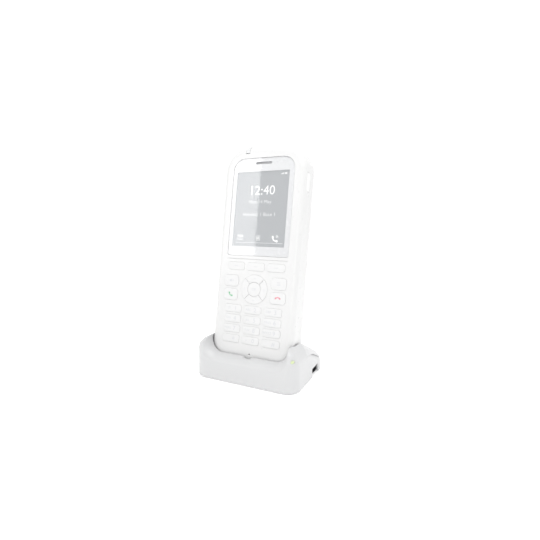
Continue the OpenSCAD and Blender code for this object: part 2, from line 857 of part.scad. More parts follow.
module usb_socket()
    color(STEEL) on_socket() {
        difference() {
            pad(socket_size, [0, socket_x[1] - socket_x[0]], 1.2);
            pad(socket_size - [0.6, 0.6], [1, socket_x[1]], 0.9);
        }
        pad([5.4, 0.7], [1 - eps, 6.6], 0.2);
    }

// Dark frame behind the shell's opening, round the socket's mouth
module port_bezel()
    color(DARK)
        difference() {
            on_cradle()
                block([30, port_y[0] + 0.1, desk_gap + base_t + 0.05],
                      [cradle_w / 2 - port_depth, port_y[1] - 0.1, port_top - 0.1]);
            on_socket()
                pad(socket_size + [0.2, 0.2], [0, cradle_w], 1.3);
        }

module led_pipe()
    color("lime") on_cradle()
        intersection() {
            translate([led.x, 0, led.y])
                rotate([-90, 0, 0])
                    cylinder(h = 10, r = led_r);
            cradle_block();
        }

module ballast_plate()
    color(STEEL) on_cradle()
        pad(ballast_size, ballast_z, 1, ballast_place.x, ballast_place.y);

// ------------------------------------------------------------------ assembly

front_casing();
rear_casing();
display_lens();
display_module();
earpiece_mesh();
earpiece_receiver();
for (i = [0:11])
    number_key(i);
for (i = [0:3])
    nav_segment(i);
for (i = [0:2])
    soft_key(i);
nav_ok();
function_key(0);  // speaker_key
function_key(1);  // menu_key
function_key(2);  // call_key
function_key(3);  // end_key
key_dome_sheet();
main_board();
microphone();
loudspeaker();
vibration_motor();
antenna_strip();
volume_rocker();
alarm_key();
headset_jack();
jack_cover();
battery_pack();
battery_contacts();
battery_cover();
charge_pads();
handset_screws();
cradle_shell();
cradle_base();
rubber_feet();
contact_pin(-1);  // contact_pin_left
contact_pin(1);  // contact_pin_right
contact_spring(-1);  // contact_spring_left
contact_spring(1);  // contact_spring_right
contact_holder();
cradle_board();
port_bezel();
usb_socket();
led_pipe();
ballast_plate();
cradle_screws();
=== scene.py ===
"""Looks of a cordless handset leaning in its desk charger.

The handset's pieces are drawn in millimetres in the handset's own frame: X across, Y along it from
its foot, Z out of its face, with the face at Z = 0. Matrices then stand them in the charger.
"""

import json
import math

import bmesh
import bpy
from mathutils import Matrix, Vector


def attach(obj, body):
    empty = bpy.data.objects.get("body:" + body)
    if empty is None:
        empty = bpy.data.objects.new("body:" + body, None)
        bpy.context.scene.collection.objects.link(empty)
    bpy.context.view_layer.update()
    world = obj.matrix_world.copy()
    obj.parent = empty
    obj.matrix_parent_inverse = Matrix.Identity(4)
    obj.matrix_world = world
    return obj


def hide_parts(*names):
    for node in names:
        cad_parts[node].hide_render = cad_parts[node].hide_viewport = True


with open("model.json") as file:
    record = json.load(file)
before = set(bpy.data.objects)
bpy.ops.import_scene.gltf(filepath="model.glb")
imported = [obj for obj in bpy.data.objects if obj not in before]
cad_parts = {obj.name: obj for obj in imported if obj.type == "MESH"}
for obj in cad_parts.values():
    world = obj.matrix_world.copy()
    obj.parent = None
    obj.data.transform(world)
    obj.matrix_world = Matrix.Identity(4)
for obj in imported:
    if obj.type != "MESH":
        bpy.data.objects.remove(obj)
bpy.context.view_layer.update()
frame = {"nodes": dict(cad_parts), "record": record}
NODES = frame["nodes"]

MM = 0.001

# --- how the handset leans in the charger ---
LEAN = math.radians(8.7)
# depth at which the plane of the handset's face meets the desk, and the foot's distance up it
SEAT_Y = -19.7 * MM
SEAT_S = 10 * MM
CHARGER_FRONT = -27 * MM
HANDSET = (
    Matrix.Translation((0, SEAT_Y, 0))
    @ Matrix.Rotation(math.pi / 2 - LEAN, 4, "X")
    @ Matrix.Translation((0, SEAT_S, 0))
    @ Matrix.Scale(MM, 4)
)
FACE_OUT = (HANDSET.to_3x3() @ Vector((0, 0, 1))).normalized()
ALONG = (HANDSET.to_3x3() @ Vector((0, 1, 0))).normalized()

# --- handset sizes, in millimetres: the CAD part's, and the finer ones that only the looks need ---

# casings
BODY_W, BODY_L, BODY_D = 57.6, 142.6, 23.0
WALL = 1.8
PARTING_Z = -12.0
JOINT_CHAMFER = 0.14
CORNER_TOP, CORNER_FOOT, CORNER_STEPS = 16.0, 13.0, 20
# rounding towards the face and the back: its height, and how far it draws in each edge
FACE_ROUND = {"z": 4.0, "side": 3.0, "foot": 6.0, "top": 5.0}
BACK_ROUND = {"z": 8.0, "side": 8.0, "foot": 5.0, "top": 8.0}
ROUND_STEPS = 12
FLAT_MARGIN = 0.5

# lens, the print behind it, the casing's opening (x0, y0, x1, y1) and the display
LENS_W, LENS_Y, LENS_T = 43.8, (70.3, 134.2), 1.2
LENS_TOP_R, LENS_FOOT_R = 8.0, 1.5
LENS_CLEAR_Z, PRINT_Z = -0.42, (-1.1, -0.44)
LENS_OPENING = (-20, 74, 20, 128)
SCREEN_W, SCREEN_H, SCREEN_X, SCREEN_Y = 37.6, 49.0, -0.4, 101.0
DISPLAY_Z, DISPLAY_BACK_Z = -1.32, -3.9

# earpiece slot, the receiver's opening behind it, the seam below the lens and the microphone
EARPIECE_Y, EARPIECE_W, EARPIECE_H, EARPIECE_R = 130.8, 11.5, 1.6, 0.75
RECEIVER_W, RECEIVER_H = 14, 3.6
SEAM_Y, SEAM_H, SEAM_DEPTH = 68.1, 0.34, 0.3
MIC_Y, MIC_R = 7.2, 0.5

# keys: height above the face, rounding of the top's edge, and depth of the foot
KEY_TOP, KEY_EDGE, KEY_FOOT = 0.22, 0.2, -3.1
KEY_W, KEY_H, KEY_R = 12.4, 5.0, 1.6
KEY_PITCH_X, KEY_PITCH_Y, KEY_ROW_Y = 14.3, 6.55, 35.6
SOFT_KEY_H, SOFT_KEY_Y = 5.2, 63.4
FUNCTION_W, FUNCTION_H, FUNCTION_R, FUNCTION_X = 10.5, 7.4, 2.2, 17.0
FUNCTION_ROWS = (53.6, 44.6)
NAV_Y, NAV_R, NAV_INNER_R, OK_R, NAV_GAP = 48.9, 9.4, 4.68, 4.5, 0.24
# a key's recess in the face: the gap round the key, its depth, and the closer gap below it
HOLE_GAP, LEDGE, THROAT_GAP = 0.06, 0.12, 0.02

# what the display shows: each text with its size and middle, and the middles of the small drawings
CLOCK = ("12:40", 8.6, -0.5, 112.9)
TEXT_LINES = (("Mon 14 May", 3.3, -1.4, 105.6), ("Handset 1 Base 1", 3.4, -1.4, 97.4))
ENVELOPE_AT, BOOK_AT, PHONE_AT, WAVES_AT = (-13.9, 82.4), (-0.6, 82.2), (11.2, 81.7), (11.6, 82.4)
BASELINE_W, BASELINE_Y = 33.6, 79.0
BARS_X, BARS_Y, BAR_PITCH, BAR_W = 12.2, 123.0, 0.5, 0.3
CELL_X, CELL_Y = 15.7, 123.6

# print on the keys: thickness, sizes of the characters, and places from a key's middle
MARK_T = 0.02
DIGIT_SIZE, STAR_SIZE, LETTERS_SIZE, OK_SIZE = 3.9, 5.0, 2.1, 2.2
DIGIT_X, STAR_DROP, LETTERS_X = 1.9, 0.9, -2.9
CHEVRON_R = 7.1

# volume rocker, headset jack with its flap, alarm key's slot and charging pads' slots
SIDE_Z, SIDE_GAP, SIDE_SLOT_R, SIDE_PIECE_R = -7.6, 0.15, 2.3, 2.2
ROCKER_Y, ROCKER_L, ROCKER_H, ROCKER_PROUD = 77.0, 25.0, 5.0, 0.5
JACK_Y, JACK_COVER_L, JACK_COVER_H, JACK_COVER_T = 118.5, 12.8, 5.4, 0.9
JACK_HOLE_R, JACK_HOLE_DEPTH, JACK_PLUG_R = 1.9, 4, 1.35
ALARM_X, ALARM_W, ALARM_L, ALARM_D = -12.2, 2.6, 5.25, 6.0
PAD_X, PAD_HALF_W, PAD_DEPTH, PAD_Z = 7.5, 2.55, 1.05, (-11.05, -7.95)

# back: battery cover with its finger ridges, battery bay with its tray, grille and screw holes
COVER_X, COVER_Y, COVER_T, COVER_R = 22.0, (27.0, 99.0), 1.6, 3
RIDGE_Y, RIDGE_PITCH, RIDGE_L, RIDGE_TAPER, RIDGE_H, RIDGE_R = 90.5, 1.7, 15, 1.2, 0.7, 0.33
BAY_X, BAY_Y, BAY_Z, BAY_CUT_Z = 20.2, (31.0, 95.0), -13.2, -14.0
TRAY_WALL, TRAY_FLOOR, RIM_W = 1.2, 0.8, 1.4
CONTACT_SLOT = (-5.1, 32.4, 5.1, 36.4)
SPEAKER_Y, GRILLE_PITCH, GRILLE_L, GRILLE_TAPER = 115.0, 2.6, 12, 2
GRILLE_H, GRILLE_R = 1.2, 0.55
BOSSES = ((-24, 21), (24, 21), (-21.8, 130.2), (21.8, 130.2))
SCREW_HOLE_R, SCREW_HOLE_DEPTH = 1.6, 3.2

# how far a cutter stands past the surface, and how deep it goes to pass through the wall
PAST, THROUGH = 1.0, 3.0


# ---------------------------------------------------------------- materials


def new_material(name):
    """A node material and its Principled shader."""
    mat = bpy.data.materials.new(name)
    mat.use_nodes = True
    return mat, mat.node_tree.nodes["Principled BSDF"]


def add_node(mat, kind, inputs=None, **settings):
    """A node in the material, with its inputs and settings given by name."""
    node = mat.node_tree.nodes.new(kind)
    for key, value in settings.items():
        setattr(node, key, value)
    for key, value in (inputs or {}).items():
        node.inputs[key].default_value = value
    return node


def grain(mat, scale, detail=3.0, stretch=(1, 1, 1)):
    """Noise fixed to the piece, in metres, as a factor output."""
    link = mat.node_tree.links.new
    coords = add_node(mat, "ShaderNodeTexCoord")
    mapping = add_node(mat, "ShaderNodeMapping", {"Scale": stretch})
    noise = add_node(mat, "ShaderNodeTexNoise", {"Scale": scale, "Detail": detail})
    link(coords.outputs["Object"], mapping.inputs["Vector"])
    link(mapping.outputs["Vector"], noise.inputs["Vector"])
    return noise.outputs["Fac"]


def mapped(mat, factor, low, high):
    """The factor's middle stretch carried to the range low to high."""
    ends = {"From Min": 0.3, "From Max": 0.7, "To Min": low, "To Max": high}
    node = add_node(mat, "ShaderNodeMapRange", ends)
    mat.node_tree.links.new(factor, node.inputs["Value"])
    return node.outputs["Result"]


def tinted(mat, factor, dark, light):
    """Colour that wanders between two close tones."""
    node = add_node(mat, "ShaderNodeMix", data_type="RGBA")
    node.inputs[6].default_value = (*dark, 1)
    node.inputs[7].default_value = (*light, 1)
    mat.node_tree.links.new(factor, node.inputs[0])
    return node.outputs[2]


def bumped(mat, shader, factor, distance):
    """Relief that follows the factor, its distance in metres."""
    bump = add_node(mat, "ShaderNodeBump", {"Strength": 1.0, "Distance": distance})
    mat.node_tree.links.new(factor, bump.inputs["Height"])
    mat.node_tree.links.new(bump.outputs["Normal"], shader.inputs["Normal"])


def moulded(name, tone, rough, spread=0.02, grain_scale=2600, depth=6e-6, coat=0.0):
    """Moulded plastic: slow drift in tone and gloss, and the mould's fine spark texture."""
    mat, shader = new_material(name)
    link = mat.node_tree.links.new
    drift = grain(mat, 45, 2.0)
    darker = tuple(max(0, c - spread) for c in tone)
    link(tinted(mat, drift, darker, tone), shader.inputs["Base Color"])
    link(mapped(mat, grain(mat, 420), rough - 0.05, rough + 0.05), shader.inputs["Roughness"])
    bumped(mat, shader, grain(mat, grain_scale, 2.0), depth)
    if coat:
        shader.inputs["Coat Weight"].default_value = coat
        shader.inputs["Coat Roughness"].default_value = 0.08
    return mat


def metal(name, tone, rough, stretch=(1, 1, 1)):
    """Metal with drawn or plated texture in its gloss."""
    mat, shader = new_material(name)
    shader.inputs["Metallic"].default_value = 1.0
    link = mat.node_tree.links.new
    streaks = grain(mat, 900, 4.0, stretch)
    darker = tuple(c * 0.9 for c in tone)
    link(tinted(mat, streaks, darker, tone), shader.inputs["Base Color"])
    link(mapped(mat, streaks, rough - 0.08, rough + 0.1), shader.inputs["Roughness"])
    bumped(mat, shader, streaks, 4e-6)
    return mat


def schlick(mat):
    """Share of light that a clear surface mirrors: 4% head on, all of it at a grazing angle."""
    facing = add_node(mat, "ShaderNodeLayerWeight", {"Blend": 0.5})
    power = add_node(mat, "ShaderNodeMath", operation="POWER")
    power.inputs[1].default_value = 5.0
    share = add_node(mat, "ShaderNodeMapRange", {"To Min": 0.04, "To Max": 1.0})
    mat.node_tree.links.new(facing.outputs["Facing"], power.inputs[0])
    mat.node_tree.links.new(power.outputs["Value"], share.inputs["Value"])
    return share.outputs["Result"]


def clear_plate(name):
    """Thin clear lens: see-through, mixed with a mirror that has faint smears."""
    mat, shader = new_material(name)
    link = mat.node_tree.links.new
    shader.inputs["Base Color"].default_value = (1, 1, 1, 1)
    shader.inputs["Metallic"].default_value = 1.0
    link(mapped(mat, grain(mat, 60, 4.0), 0.02, 0.06), shader.inputs["Roughness"])
    see = add_node(mat, "ShaderNodeBsdfTransparent")
    mix = add_node(mat, "ShaderNodeMixShader")
    link(schlick(mat), mix.inputs["Fac"])
    link(see.outputs["BSDF"], mix.inputs[1])
    link(shader.outputs["BSDF"], mix.inputs[2])
    link(mix.outputs["Shader"], mat.node_tree.nodes["Material Output"].inputs["Surface"])
    return mat


def glowing(name, tone, strength, rough=0.4, base=0.2):
    """Lit surface of a display or lamp, with a little unevenness in its light."""
    mat, shader = new_material(name)
    link = mat.node_tree.links.new
    uneven = grain(mat, 120, 2.0)
    dim = tuple(c * 0.96 for c in tone)
    link(tinted(mat, uneven, dim, tone), shader.inputs["Emission Color"])
    shader.inputs["Emission Strength"].default_value = strength
    shader.inputs["Base Color"].default_value = (*(c * base for c in tone), 1)
    link(mapped(mat, uneven, rough - 0.05, rough + 0.05), shader.inputs["Roughness"])
    return mat


def speckled(name, tone, fleck, rough, scale, depth):
    """Rubber, film or board with visible fleck and a coarser surface."""
    mat, shader = new_material(name)
    link = mat.node_tree.links.new
    noise = grain(mat, scale, 5.0)
    link(tinted(mat, noise, tone, fleck), shader.inputs["Base Color"])
    link(mapped(mat, noise, rough - 0.06, rough + 0.06), shader.inputs["Roughness"])
    bumped(mat, shader, noise, depth)
    return mat


def woven(name):
    """Fine metal mesh: crossed waves for its wires."""
    mat, shader = new_material(name)
    link = mat.node_tree.links.new
    coords = add_node(mat, "ShaderNodeTexCoord")
    total = add_node(mat, "ShaderNodeMath", operation="ADD")
    for i, direction in enumerate(("X", "Z")):
        wave = add_node(mat, "ShaderNodeTexWave", {"Scale": 700.0}, bands_direction=direction)
        link(coords.outputs["Object"], wave.inputs["Vector"])
        link(wave.outputs["Fac"], total.inputs[i])
    shade = mapped(mat, total.outputs["Value"], 0.0, 1.0)
    link(tinted(mat, shade, (0.22, 0.22, 0.225), (0.5, 0.5, 0.51)), shader.inputs["Base Color"])
    shader.inputs["Metallic"].default_value = 0.6
    shader.inputs["Roughness"].default_value = 0.45
    bumped(mat, shader, shade, 5e-5)
    return mat


WHITE = moulded("handset_white", (0.67, 0.67, 0.668), 0.32, coat=0.3)
KEY_WHITE = moulded("key_white", (0.675, 0.675, 0.675), 0.42)
CHARGER = moulded("charger_white", (0.56, 0.562, 0.566), 0.38, coat=0.15)
PRINT = moulded("lens_print", (0.665, 0.67, 0.68), 0.25, spread=0.01, grain_scale=4000, depth=1e-6)
PALE_RUBBER = speckled("pale_rubber", (0.72, 0.72, 0.715), (0.77, 0.77, 0.765), 0.6, 900, 8e-6)
RUBBER = speckled("rubber", (0.09, 0.09, 0.095), (0.13, 0.13, 0.135), 0.75, 900, 2e-5)
GREY = moulded("grey_plastic", (0.64, 0.645, 0.65), 0.4)
BLACK = moulded("black_plastic", (0.014, 0.014, 0.016), 0.45, spread=0.004)
LEGEND = moulded("legend_grey", (0.56, 0.57, 0.59), 0.5, spread=0.01)
LEGEND_GREEN = moulded("legend_green", (0.22, 0.58, 0.32), 0.5, spread=0.01)
LEGEND_RED = moulded("legend_red", (0.8, 0.3, 0.36), 0.5, spread=0.01)
LENS = clear_plate("lens_clear")
SCREEN = glowing("screen", (0.555, 0.575, 0.595), 0.6)
SCREEN_MARK = glowing("screen_mark", (1.0, 1.0, 1.0), 0.9)
SCREEN_FAINT = glowing("screen_faint", (0.84, 0.85, 0.86), 0.8)
LAMP = glowing("lamp_green", (0.62, 0.7, 0.42), 0.22, base=0.8)
MESH = woven("earpiece_weave")
STEEL = metal("steel", (0.62, 0.62, 0.64), 0.3, (1, 1, 8))
GOLD = metal("gold_plate", (0.83, 0.64, 0.3), 0.25)
BOARD = speckled("solder_mask", (0.015, 0.13, 0.06), (0.025, 0.18, 0.09), 0.35, 1500, 3e-6)
FILM = speckled("shrink_film", (0.05, 0.055, 0.065), (0.07, 0.075, 0.09), 0.3, 300, 1e-5)
DOME_FILM = speckled("dome_film", (0.6, 0.6, 0.57), (0.66, 0.66, 0.63), 0.4, 500, 5e-6)

SLOT_LOOK = {
    "handset_white": WHITE,
    "keys": KEY_WHITE,
    "charger_white": CHARGER,
    "lens": LENS,
    "display": BLACK,
    "mesh": MESH,
    "side_keys": GREY,
    "rubber": RUBBER,
    "pale_rubber": PALE_RUBBER,
    "dome_sheet": DOME_FILM,
    "circuit_board": BOARD,
    "black_plastic": BLACK,
    "battery_wrap": FILM,
    "contact_metal": GOLD,
    "steel": STEEL,
    "led": LAMP,
}


def dress_cad_nodes():
    """Every CAD node takes the finished material of its slot, and smooth shading on its curves."""
    for part in frame["record"]["subparts"]:
        mesh = NODES[part["node"]].data
        mesh.materials.clear()
        mesh.materials.append(SLOT_LOOK[part["material_slot"]])
        mesh.shade_smooth()
        mesh.set_sharp_from_angle(angle=math.radians(30))


# ---------------------------------------------------------------- mesh tools


def arc(cx, cy, r, start, end, steps):
    """Points along an arc, from start to end degrees."""
    turns = [math.radians(start + (end - start) * i / steps) for i in range(steps + 1)]
    return [(cx + r * math.cos(t), cy + r * math.sin(t)) for t in turns]


def round_rect(x0, y0, x1, y1, r_low, r_high, steps=8):
    """Rectangle with one radius for its low corners and one for its high ones."""
    return (
        arc(x1 - r_high, y1 - r_high, r_high, 0, 90, steps)
        + arc(x0 + r_high, y1 - r_high, r_high, 90, 180, steps)
        + arc(x0 + r_low, y0 + r_low, r_low, 180, 270, steps)
        + arc(x1 - r_low, y0 + r_low, r_low, 270, 360, steps)
    )


def centred_rect(x, y, w, h, r, inset=0.0, steps=8):
    """Rounded rectangle about a centre, drawn in by the inset."""
    r = max(r - inset, 0.05)
    dx, dy = w / 2 - inset, h / 2 - inset
    return round_rect(x - dx, y - dy, x + dx, y + dy, r, r, steps)


def rect_outline(x, y, w, h, r, steps=8):
    """Function that draws the rounded rectangle in by the inset it is given."""
    return lambda inset: centred_rect(x, y, w, h, r, inset, steps)


def circle_outline(x, y, r, steps=48):
    """Function that draws the circle in by the inset it is given."""
    return lambda inset: arc(x, y, r - inset, 0, 360 - 360 / steps, steps - 1)


def lift(outline, z):
    return [(x, y, z) for x, y in outline]


def levels(outline_at, steps):
    """Rings of an outline at (height, inset) steps."""
    return [lift(outline_at(inset), z) for z, inset in steps]


def ring_mesh(name, rings):
    """Closed skin through rings of equal length, with a cap at each end."""
    count = len(rings[0])
    points = [p for ring in rings for p in ring]
    faces = [tuple(range(count))[::-1]]
    for i in range(len(rings) - 1):
        low, high = count * i, count * (i + 1)
        for k in range(count):
            nxt = (k + 1) % count
            faces.append((low + k, low + nxt, high + nxt, high + k))
    faces.append(tuple(count * (len(rings) - 1) + k for k in range(count)))
    mesh = bpy.data.meshes.new(name)
    mesh.from_pydata(points, [], faces)
    return mesh


def add_piece(name, mesh, matrix, body, material, replaces=(), angle=35, weighted=False):
    """Puts a mesh in the scene as a finished piece that rides on a body.

    Edges sharper than the angle stay sharp, and a weighted piece is shaded flat up to its rounding.
    """
    mesh.name = name
    mesh.transform(matrix)
    mesh.materials.clear()
    mesh.materials.append(material)
    mesh.shade_smooth()
    mesh.set_sharp_from_angle(angle=math.radians(angle))
    piece = bpy.data.objects.new(name, mesh)
    bpy.context.scene.collection.objects.link(piece)
    if weighted:
        normals = piece.modifiers.new("flat_normals", "WEIGHTED_NORMAL")
        normals.keep_sharp = True
    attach(piece, body)
    if replaces:
        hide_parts(*replaces)


def joined(meshes):
    """One mesh from several, which are used up."""
    bm = bmesh.new()
    for mesh in meshes:
        bm.from_mesh(mesh)
        bpy.data.meshes.remove(mesh)
    out = bpy.data.meshes.new("joined")
    bm.to_mesh(out)
    bm.free()
    return out


def carved(mesh, cutters):
    """The mesh less the cutters, by an exact boolean."""
    body = bpy.data.objects.new("carved_body", mesh)
    tool = bpy.data.objects.new("carving_tool", joined(cutters))
    for obj in (body, tool):
        bpy.context.scene.collection.objects.link(obj)
    cut = body.modifiers.new("cut", "BOOLEAN")
    cut.operation = "DIFFERENCE"
    cut.solver = "EXACT"
    cut.object = tool
    graph = bpy.context.evaluated_depsgraph_get()
    result = bpy.data.meshes.new_from_object(body.evaluated_get(graph))
    for obj in (body, tool):
        bpy.data.objects.remove(obj)
    return result


def prism(name, outline, z0, z1):
    return ring_mesh(name, [lift(outline, z0), lift(outline, z1)])


def mouth(outline_at, gap, bottom, flare=0.06):
    """Cutter for a recess in the face with softened edges."""
    steps = [(bottom, -gap), (-flare, -gap), (0.0, -gap - flare), (PAST, -gap - flare)]
    return ring_mesh("mouth", levels(outline_at, steps))


def throat(outline_at):
    """Cutter for the close-fitting hole below a recess."""
    steps = [(-THROUGH, -THROAT_GAP), (-LEDGE / 2, -THROAT_GAP)]
    return ring_mesh("throat", levels(outline_at, steps))


def softened(top, bottom, round_r, steps=5):
    """(height, inset) steps of a cap with a rounded upper edge."""
    out = [(bottom, 0.0)]
    for i in range(steps + 1):
        t = math.pi / 2 * i / steps
        out.append((top - round_r * (1 - math.sin(t)), round_r * (1 - math.cos(t))))
    return out


def stroke(points, width, closed=False):
    """Flat printed line of one width along points (x, y), standing on Z = 0."""
    n = len(points)
    left, right = [], []
    for i, (x, y) in enumerate(points):
        before = points[i - 1] if (closed or i > 0) else points[i]
        after = points[(i + 1) % n] if (closed or i < n - 1) else points[i]
        along = Vector((after[0] - before[0], after[1] - before[1])).normalized()
        side = Vector((-along.y, along.x)) * width / 2
        left.append((x + side.x, y + side.y))
        right.append((x - side.x, y - side.y))
    if not closed:
        return prism("stroke", left + right[::-1], 0, MARK_T)
    quads = []
    for i in range(n):
        j = (i + 1) % n
        quads.append(prism("stroke", [right[i], right[j], left[j], left[i]], 0, MARK_T))
    return joined(quads)


def block(x0, y0, x1, y1, z0, z1):
    return prism("block", [(x1, y0), (x1, y1), (x0, y1), (x0, y0)], z0, z1)


def words(text, size):
    """A line of plain text as a thin mesh, centred on the origin."""
    curve = bpy.data.curves.new("words", "FONT")
    curve.body = text
    curve.size = size
    curve.extrude = MARK_T / 2
    curve.align_x = "CENTER"
    curve.align_y = "CENTER"
    curve.resolution_u = 3
    carrier = bpy.data.objects.new("words", curve)
    bpy.context.scene.collection.objects.link(carrier)
    graph = bpy.context.evaluated_depsgraph_get()
    mesh = bpy.data.meshes.new_from_object(carrier.evaluated_get(graph))
    bpy.data.objects.remove(carrier)
    mesh.transform(Matrix.Translation((0, 0, MARK_T / 2)))
    return mesh


def moved(mesh, x, y, z=0.0, turn=0.0, scale=1.0):
    """The mesh itself, scaled, turned by degrees about Z and then moved."""
    mesh.transform(
        Matrix.Translation((x, y, z))
        @ Matrix.Rotation(math.radians(turn), 4, "Z")
        @ Matrix.Scale(scale, 4)
    )
    return mesh


# ---------------------------------------------------------------- handset casings

# order of the insets that body_ring takes
EDGES = ("side", "foot", "top")


def body_ring(z, side, foot, top):
    """Outline of the handset at a height, drawn in at its sides, foot and top."""
    outline = round_rect(
        -BODY_W / 2 + side, foot, BODY_W / 2 - side, BODY_L - top,
        CORNER_FOOT - side, CORNER_TOP - side, CORNER_STEPS,
    )
    return lift(outline, z)


def edge_ring(rounding, z0, sign, t, grow):
    """Ring where the edge of the face (sign 1) or back (sign -1) has turned in by t radians.

    The skin is grown outwards by grow, so the inner skin's is negative.
    """
    inward = 1 - math.cos(t)
    z = z0 + sign * (rounding["z"] + grow) * math.sin(t)
    return body_ring(z, *(-grow + (rounding[k] + grow) * inward for k in EDGES))


def half_shell(rounding, z0, sign):
    """One casing: inner skin to the joint line, a fine chamfer there, then the outer skin."""
    turns = [math.pi / 2 * i / ROUND_STEPS for i in range(ROUND_STEPS + 1)]
    outer = [edge_ring(rounding, z0, sign, t, 0.0) for t in turns]
    inner = [edge_ring(rounding, z0, sign, t, -WALL) for t in turns]
    joint = [
        body_ring(PARTING_Z, WALL, WALL, WALL),
        body_ring(PARTING_Z, JOINT_CHAMFER, JOINT_CHAMFER, JOINT_CHAMFER),
        body_ring(PARTING_Z + sign * JOINT_CHAMFER, 0, 0, 0),
    ]
    flat_z = z0 + sign * rounding["z"]
    flat = body_ring(flat_z, *(rounding[k] + FLAT_MARGIN for k in EDGES))
    rings = [*inner[::-1], *joint, *outer, flat]
    return ring_mesh("casing", rings if sign > 0 else [ring[::-1] for ring in rings])


def lens_outline(inset):
    x = LENS_W / 2 - inset
    low, high = LENS_Y[0] + inset, LENS_Y[1] - inset
    return round_rect(-x, low, x, high, LENS_FOOT_R, LENS_TOP_R - inset, 16)


NUMBER_KEYS = ["key_1", "key_2", "key_3", "key_4", "key_5", "key_6",
               "key_7", "key_8", "key_9", "key_star", "key_0", "key_hash"]
LETTERS = {"key_2": "ABC", "key_3": "DEF", "key_4": "GHI", "key_5": "JKL", "key_6": "MNO",
           "key_7": "PQRS", "key_8": "TUV", "key_9": "WXYZ", "key_0": "+"}
SOFT_KEYS = ["soft_key_left", "soft_key_middle", "soft_key_right"]
FUNCTION_KEYS = ["speaker_key", "menu_key", "call_key", "end_key"]
NAV_KEYS = ["nav_right", "nav_up", "nav_left", "nav_down"]


def number_place(i):
    return (i % 3 - 1) * KEY_PITCH_X, KEY_ROW_Y - (i // 3) * KEY_PITCH_Y


def soft_key_place(i):
    return (i - 1) * KEY_PITCH_X, SOFT_KEY_Y


def function_place(i):
    return (-FUNCTION_X if i % 2 == 0 else FUNCTION_X), FUNCTION_ROWS[i // 2]


def key_outlines():
    """Outline of every straight key by name."""
    out = {}
    for i, name in enumerate(NUMBER_KEYS):
        out[name] = rect_outline(*number_place(i), KEY_W, KEY_H, KEY_R)
    for i, name in enumerate(SOFT_KEYS):
        out[name] = rect_outline(*soft_key_place(i), KEY_W, SOFT_KEY_H, KEY_R)
    for i, name in enumerate(FUNCTION_KEYS):
        out[name] = rect_outline(*function_place(i), FUNCTION_W, FUNCTION_H, FUNCTION_R)
    return out


KEY_OUTLINES = key_outlines()


def side_matrix(sign, y):
    """Places a mesh drawn face up on a side wall: its X goes to depth, its Y along the handset."""
    return (
        Matrix.Translation((sign * BODY_W / 2, y, SIDE_Z))
        @ Matrix.Rotation(sign * math.pi / 2, 4, "Y")
    )


def side_slot(sign, y, length, height, depth, gap):
    """Cutter for a slot in a side wall: sign -1 on the left, 1 on the right."""
    flare = 0.1
    steps = [(-depth, -gap), (-flare, -gap), (0.0, -gap - flare), (PAST, -gap - flare)]
    mesh = ring_mesh("slot", levels(rect_outline(0, 0, height, length, SIDE_SLOT_R), steps))
    mesh.transform(side_matrix(sign, y))
    return mesh


def front_recesses():
    """Cutters for what is let into the face, the sides and the foot."""
    lens_fit, lens_flare = -0.05, -0.12
    seat = [(-LENS_T, lens_fit), (-0.08, lens_fit), (0.0, lens_flare), (PAST, lens_flare)]
    seam = rect_outline(0, SEAM_Y, LENS_W, SEAM_H, 0.1, 2)
    recesses = [mouth(outline, HOLE_GAP, -LEDGE) for outline in KEY_OUTLINES.values()]
    recesses += [
        mouth(circle_outline(0, NAV_Y, NAV_R, 64), HOLE_GAP, -LEDGE),
        mouth(circle_outline(0, MIC_Y, MIC_R, 20), 0.0, -THROUGH, 0.2),
        ring_mesh("seat", levels(lens_outline, seat)),
        ring_mesh("groove", levels(seam, [(-SEAM_DEPTH, 0.06), (0.01, -0.06), (PAST, -0.06)])),
        side_slot(-1, ROCKER_Y, ROCKER_L, ROCKER_H, THROUGH, SIDE_GAP),
        side_slot(1, JACK_Y, JACK_COVER_L, JACK_COVER_H, 1.0, 0.1),
        block(ALARM_X - ALARM_W / 2 - SIDE_GAP, BODY_L - ALARM_L,
              ALARM_X + ALARM_W / 2 + SIDE_GAP, BODY_L + 2 * PAST, -ALARM_D - SIDE_GAP, PAST),
    ]
    for x in (-PAD_X, PAD_X):
        recesses.append(block(x - PAD_HALF_W, -PAST, x + PAD_HALF_W, PAD_DEPTH, *PAD_Z))
    return recesses


def front_holes():
    """Cutters for the holes that go on down from those recesses."""
    jack = prism("jack", circle_outline(0, 0, JACK_HOLE_R, 24)(0), -JACK_HOLE_DEPTH, -0.5)
    jack.transform(side_matrix(1, JACK_Y))
    seat_floor = -0.9
    receiver_x, receiver_y = RECEIVER_W / 2, RECEIVER_H / 2
    holes = [throat(outline) for outline in KEY_OUTLINES.values()]
    holes += [throat(quarter_outline(90 * i)) for i in range(4)]
    holes += [
        throat(circle_outline(0, NAV_Y, OK_R)),
        block(*LENS_OPENING, -THROUGH, seat_floor),
        block(-receiver_x, EARPIECE_Y - receiver_y, receiver_x, EARPIECE_Y + receiver_y,
              -THROUGH, seat_floor),
        jack,
    ]
    return holes


def make_front_casing():
    shell = half_shell(FACE_ROUND, -FACE_ROUND["z"], 1)
    mesh = carved(carved(shell, front_recesses()), front_holes())
    add_piece("casing_front", mesh, HANDSET, "handset", WHITE,
              ["front_casing"], weighted=True)


def cover_outline(inset):
    x, r = COVER_X - inset, COVER_R - inset
    return round_rect(-x, COVER_Y[0] + inset, x, COVER_Y[1] - inset, r, r, 10)


